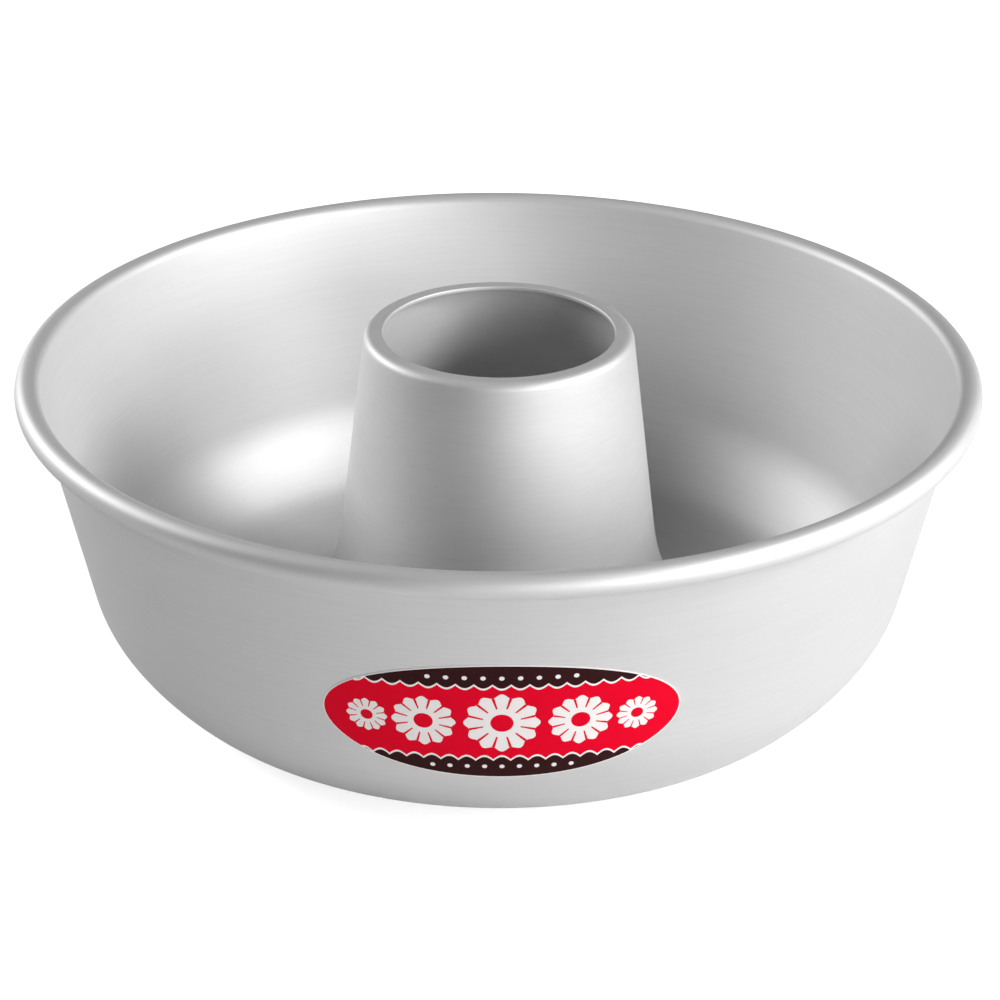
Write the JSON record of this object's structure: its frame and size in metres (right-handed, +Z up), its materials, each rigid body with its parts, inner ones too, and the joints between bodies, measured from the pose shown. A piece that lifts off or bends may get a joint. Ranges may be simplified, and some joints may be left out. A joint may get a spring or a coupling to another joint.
{
  "type": "ring cake pan",
  "caption": "Aluminium ring cake pan with a rolled rim, a rounded floor, a raised hollow centre tube and an oval paper label on its front.",
  "frame": {"origin": "centre of the flat ring that the pan stands on, on the pan's axis", "axes": "+Z up along the pan's axis, -Y towards the label, +X to the right of a viewer who faces the label"},
  "size_m": [0.25, 0.25, 0.093],
  "materials": {
    "anodised_aluminium": "spun sheet, satin anodised",
    "label_paper": "printed paper with a satin varnish"
  },
  "bodies": {
    "root": {"pan_shell": "anodised_aluminium", "label": "label_paper"}
  },
  "joints": []
}
